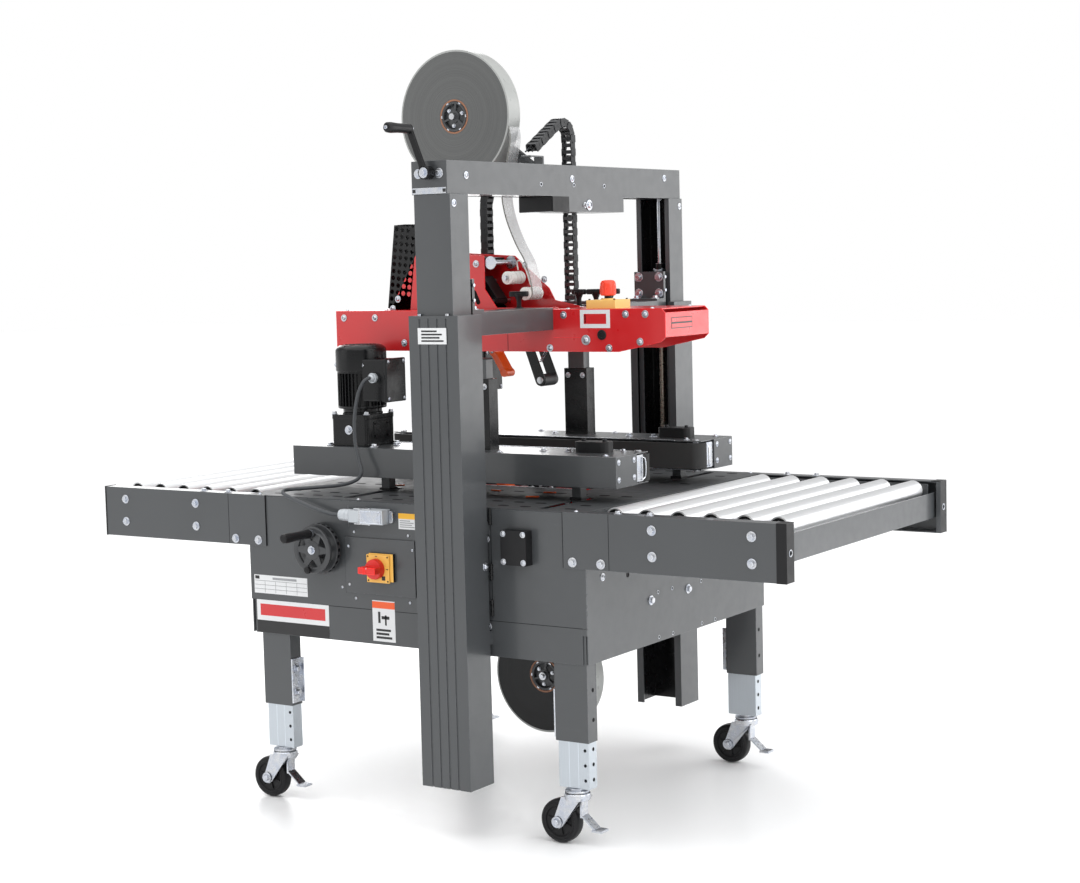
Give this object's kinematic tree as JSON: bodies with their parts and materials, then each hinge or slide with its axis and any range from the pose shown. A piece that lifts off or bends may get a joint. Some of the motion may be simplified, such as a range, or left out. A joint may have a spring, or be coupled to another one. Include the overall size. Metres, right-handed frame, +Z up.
{
  "type": "carton sealer machine",
  "caption": "Side-belt carton sealer: roller conveyors, height-adjustable upper taping head on a mast, lower taping head, side belts with motors, casters.",
  "frame": {"origin": "on the floor under the middle of the bed", "axes": "+X along the conveyor towards the infeed end, -Y the operator's side, +Z up"},
  "size_m": [1.936, 1.154, 1.825],
  "materials": {
    "body_paint": "charcoal-grey textured powder coat",
    "deck_paint": "charcoal-grey textured powder coat",
    "red_paint": "glossy red powder coat",
    "black_plastic": "moulded black plastic",
    "black_metal": "black enamel on cast aluminium",
    "zinc": "bright zinc plate",
    "steel": "ground steel",
    "leg_aluminium": "brushed aluminium",
    "roller_tube": "bright zinc-plated tube",
    "wheel_tread": "black rubber",
    "belt_rubber": "ribbed black rubber",
    "guard_orange": "orange powder coat",
    "estop_red": "moulded red plastic",
    "cord_grey": "grey cable sheath",
    "tape": "clear packing tape, wound"
  },
  "bodies": {
    "frame": {"front_panel": "body_paint", "bed_body": "body_paint", "bed_deck": "deck_paint", "inner_legs": "leg_aluminium", "infeed_frame": "body_paint", "exit_frame": "body_paint", "outer_columns": "body_paint", "inner_columns": "body_paint", "crossbeam": "body_paint", "control_panel": "body_paint", "lower_head_frame": "red_paint", "energy_chains": "black_plastic", "motor_cord": "cord_grey", "roller_axles": "steel"},
    "head": {"cross_arms": "body_paint", "head_casing": "red_paint", "upper_tape_head": "red_paint"},
    "front_side_unit": {"front_belt_unit": "body_paint", "front_motor": "black_metal", "front_belt": "belt_rubber"},
    "rear_side_unit": {"rear_belt_unit": "body_paint", "rear_motor": "black_metal", "rear_belt": "belt_rubber"},
    "infeed_roller_1": {"infeed_roller_1": "roller_tube"},
    "infeed_roller_2": {"infeed_roller_2": "roller_tube"},
    "infeed_roller_3": {"infeed_roller_3": "roller_tube"},
    "infeed_roller_4": {"infeed_roller_4": "roller_tube"},
    "infeed_roller_5": {"infeed_roller_5": "roller_tube"},
    "infeed_roller_6": {"infeed_roller_6": "roller_tube"},
    "exit_roller_1": {"exit_roller_1": "roller_tube"},
    "exit_roller_2": {"exit_roller_2": "roller_tube"},
    "exit_roller_3": {"exit_roller_3": "roller_tube"},
    "exit_roller_4": {"exit_roller_4": "roller_tube"},
    "exit_roller_5": {"exit_roller_5": "roller_tube"},
    "exit_roller_6": {"exit_roller_6": "roller_tube"},
    "caster_fork_fl": {"caster_fork_fl": "zinc"},
    "caster_fork_fr": {"caster_fork_fr": "zinc"},
    "caster_fork_rl": {"caster_fork_rl": "zinc"},
    "caster_fork_rr": {"caster_fork_rr": "zinc"},
    "caster_wheel_fl": {"caster_wheel_fl": "wheel_tread"},
    "caster_wheel_fr": {"caster_wheel_fr": "wheel_tread"},
    "caster_wheel_rl": {"caster_wheel_rl": "wheel_tread"},
    "caster_wheel_rr": {"caster_wheel_rr": "wheel_tread"},
    "upper_apply_arm": {"upper_apply_arm": "black_metal"},
    "upper_buff_arm": {"upper_buff_arm": "black_metal"},
    "upper_knife_guard": {"upper_knife_guard": "guard_orange"},
    "estop_button": {"estop_button": "estop_red"},
    "crank": {"crank": "black_metal"},
    "front_screw": {"front_screw": "steel"},
    "rear_screw": {"rear_screw": "steel"},
    "front_drive_pulley": {"front_drive_pulley": "steel"},
    "front_idler_pulley": {"front_idler_pulley": "steel"},
    "rear_drive_pulley": {"rear_drive_pulley": "steel"},
    "rear_idler_pulley": {"rear_idler_pulley": "steel"},
    "handwheel": {"handwheel": "black_metal"},
    "switch_knob": {"switch_knob": "estop_red"},
    "upper_tape_roll": {"upper_tape_roll": "tape"},
    "lower_tape_roll": {"lower_tape_roll": "tape"},
    "lower_apply_arm": {"lower_apply_arm": "black_metal"},
    "lower_buff_arm": {"lower_buff_arm": "black_metal"}
  },
  "joints": [
    {"name": "infeed_roller_1_spin", "type": "hinge", "parent": "frame", "child": "infeed_roller_1", "pos_m": [0.52, 0, 0.733], "axis": [0, 1, 0], "continuous": true},
    {"name": "exit_roller_1_spin", "type": "hinge", "parent": "frame", "child": "exit_roller_1", "pos_m": [-0.52, 0, 0.733], "axis": [0, 1, 0], "continuous": true},
    {"name": "infeed_roller_2_spin", "type": "hinge", "parent": "frame", "child": "infeed_roller_2", "pos_m": [0.6, 0, 0.733], "axis": [0, 1, 0], "continuous": true},
    {"name": "exit_roller_2_spin", "type": "hinge", "parent": "frame", "child": "exit_roller_2", "pos_m": [-0.6, 0, 0.733], "axis": [0, 1, 0], "continuous": true},
    {"name": "infeed_roller_3_spin", "type": "hinge", "parent": "frame", "child": "infeed_roller_3", "pos_m": [0.68, 0, 0.733], "axis": [0, 1, 0], "continuous": true},
    {"name": "exit_roller_3_spin", "type": "hinge", "parent": "frame", "child": "exit_roller_3", "pos_m": [-0.68, 0, 0.733], "axis": [0, 1, 0], "continuous": true},
    {"name": "infeed_roller_4_spin", "type": "hinge", "parent": "frame", "child": "infeed_roller_4", "pos_m": [0.76, 0, 0.733], "axis": [0, 1, 0], "continuous": true},
    {"name": "exit_roller_4_spin", "type": "hinge", "parent": "frame", "child": "exit_roller_4", "pos_m": [-0.76, 0, 0.733], "axis": [0, 1, 0], "continuous": true},
    {"name": "infeed_roller_5_spin", "type": "hinge", "parent": "frame", "child": "infeed_roller_5", "pos_m": [0.84, 0, 0.733], "axis": [0, 1, 0], "continuous": true},
    {"name": "exit_roller_5_spin", "type": "hinge", "parent": "frame", "child": "exit_roller_5", "pos_m": [-0.84, 0, 0.733], "axis": [0, 1, 0], "continuous": true},
    {"name": "infeed_roller_6_spin", "type": "hinge", "parent": "frame", "child": "infeed_roller_6", "pos_m": [0.92, 0, 0.733], "axis": [0, 1, 0], "continuous": true},
    {"name": "exit_roller_6_spin", "type": "hinge", "parent": "frame", "child": "exit_roller_6", "pos_m": [-0.92, 0, 0.733], "axis": [0, 1, 0], "continuous": true},
    {"name": "caster_fl_swivel", "type": "hinge", "parent": "frame", "child": "caster_fork_fl", "pos_m": [-0.412, -0.409, 0.12], "axis": [0, 0, 1], "continuous": true},
    {"name": "caster_fl_roll", "type": "hinge", "parent": "caster_fork_fl", "child": "caster_wheel_fl", "pos_m": [-0.454, -0.409, 0.05], "axis": [0, 1, 0], "continuous": true},
    {"name": "caster_fr_swivel", "type": "hinge", "parent": "frame", "child": "caster_fork_fr", "pos_m": [0.436, -0.409, 0.12], "axis": [0, 0, 1], "continuous": true},
    {"name": "caster_fr_roll", "type": "hinge", "parent": "caster_fork_fr", "child": "caster_wheel_fr", "pos_m": [0.394, -0.409, 0.05], "axis": [0, 1, 0], "continuous": true},
    {"name": "caster_rl_swivel", "type": "hinge", "parent": "frame", "child": "caster_fork_rl", "pos_m": [-0.412, 0.409, 0.12], "axis": [0, 0, 1], "continuous": true},
    {"name": "caster_rl_roll", "type": "hinge", "parent": "caster_fork_rl", "child": "caster_wheel_rl", "pos_m": [-0.454, 0.409, 0.05], "axis": [0, 1, 0], "continuous": true},
    {"name": "caster_rr_swivel", "type": "hinge", "parent": "frame", "child": "caster_fork_rr", "pos_m": [0.436, 0.409, 0.12], "axis": [0, 0, 1], "continuous": true},
    {"name": "caster_rr_roll", "type": "hinge", "parent": "caster_fork_rr", "child": "caster_wheel_rr", "pos_m": [0.394, 0.409, 0.05], "axis": [0, 1, 0], "continuous": true},
    {"name": "head_lift", "type": "slide", "parent": "frame", "child": "head", "axis": [0, 0, 1], "range_m": [-0.15, 0.1], "deforming": ["energy_chains"]},
    {"name": "front_screw_turn", "type": "hinge", "parent": "frame", "child": "front_screw", "pos_m": [0.164, -0.488, 0.9], "axis": [0, 0, 1], "continuous": true},
    {"name": "rear_screw_turn", "type": "hinge", "parent": "frame", "child": "rear_screw", "pos_m": [0.164, 0.488, 0.9], "axis": [0, 0, 1], "continuous": true},
    {"name": "crank_turn", "type": "hinge", "parent": "frame", "child": "crank", "pos_m": [0.162, -0.54, 1.501], "axis": [0, 1, 0], "continuous": true},
    {"name": "front_width", "type": "slide", "parent": "frame", "child": "front_side_unit", "axis": [0, -1, 0], "range_m": [-0.018, 0.145], "deforming": ["motor_cord"]},
    {"name": "rear_width", "type": "slide", "parent": "frame", "child": "rear_side_unit", "axis": [0, 1, 0], "range_m": [-0.018, 0.145]},
    {"name": "handwheel_turn", "type": "hinge", "parent": "frame", "child": "handwheel", "pos_m": [-0.251, -0.45, 0.633], "axis": [0, 1, 0], "continuous": true},
    {"name": "front_drive_pulley_spin", "type": "hinge", "parent": "front_side_unit", "child": "front_drive_pulley", "pos_m": [-0.43, -0.139, 0.823], "axis": [0, 0, 1], "continuous": true},
    {"name": "front_idler_pulley_spin", "type": "hinge", "parent": "front_side_unit", "child": "front_idler_pulley", "pos_m": [0.452, -0.139, 0.823], "axis": [0, 0, 1], "continuous": true},
    {"name": "rear_drive_pulley_spin", "type": "hinge", "parent": "rear_side_unit", "child": "rear_drive_pulley", "pos_m": [-0.43, 0.139, 0.823], "axis": [0, 0, 1], "continuous": true},
    {"name": "rear_idler_pulley_spin", "type": "hinge", "parent": "rear_side_unit", "child": "rear_idler_pulley", "pos_m": [0.452, 0.139, 0.823], "axis": [0, 0, 1], "continuous": true},
    {"name": "upper_roll_spin", "type": "hinge", "parent": "frame", "child": "upper_tape_roll", "pos_m": [-0.121, 0, 1.662], "axis": [0, 1, 0], "continuous": true},
    {"name": "lower_roll_spin", "type": "hinge", "parent": "frame", "child": "lower_tape_roll", "pos_m": [0.104, 0, 0.28], "axis": [0, 1, 0], "continuous": true},
    {"name": "upper_apply_swing", "type": "hinge", "parent": "head", "child": "upper_apply_arm", "pos_m": [0.168, 0, 1.15], "axis": [0, 1, 0], "range_deg": [0, 45], "stiffness_Nm_per_rad": 12, "springref_deg": -17.19},
    {"name": "upper_buff_swing", "type": "hinge", "parent": "head", "child": "upper_buff_arm", "pos_m": [-0.06, 0, 1.15], "axis": [0, 1, 0], "range_deg": [0, 45]},
    {"name": "upper_guard_swing", "type": "hinge", "parent": "head", "child": "upper_knife_guard", "pos_m": [0.022, 0, 1.13], "axis": [0, 1, 0], "range_deg": [0, 40], "stiffness_Nm_per_rad": 4, "springref_deg": -11.46},
    {"name": "lower_apply_swing", "type": "hinge", "parent": "frame", "child": "lower_apply_arm", "pos_m": [0.168, 0, 0.688], "axis": [0, -1, 0], "range_deg": [0, 45], "stiffness_Nm_per_rad": 12, "springref_deg": -17.19},
    {"name": "lower_buff_swing", "type": "hinge", "parent": "frame", "child": "lower_buff_arm", "pos_m": [-0.06, 0, 0.688], "axis": [0, -1, 0], "range_deg": [0, 45]},
    {"name": "estop_push", "type": "slide", "parent": "head", "child": "estop_button", "axis": [0, 0, -1], "range_m": [0, 0.005], "stiffness_N_per_m": 800},
    {"name": "switch_turn", "type": "hinge", "parent": "frame", "child": "switch_knob", "pos_m": [-0.082, -0.46, 0.595], "axis": [0, 1, 0], "range_deg": [0, 90]}
  ],
  "couplings": [
    {"joint": "front_screw_turn", "follows": "head_lift", "rad_per_m": 314.16},
    {"joint": "rear_screw_turn", "follows": "head_lift", "rad_per_m": 314.16},
    {"joint": "crank_turn", "follows": "head_lift", "rad_per_m": 314.16},
    {"joint": "rear_width", "follows": "front_width", "ratio": 1},
    {"joint": "handwheel_turn", "follows": "front_width", "rad_per_m": 251.33},
    {"joint": "front_idler_pulley_spin", "follows": "front_drive_pulley_spin", "ratio": 1},
    {"joint": "rear_idler_pulley_spin", "follows": "rear_drive_pulley_spin", "ratio": 1},
    {"joint": "upper_buff_swing", "follows": "upper_apply_swing", "ratio": 1},
    {"joint": "lower_buff_swing", "follows": "lower_apply_swing", "ratio": 1}
  ]
}
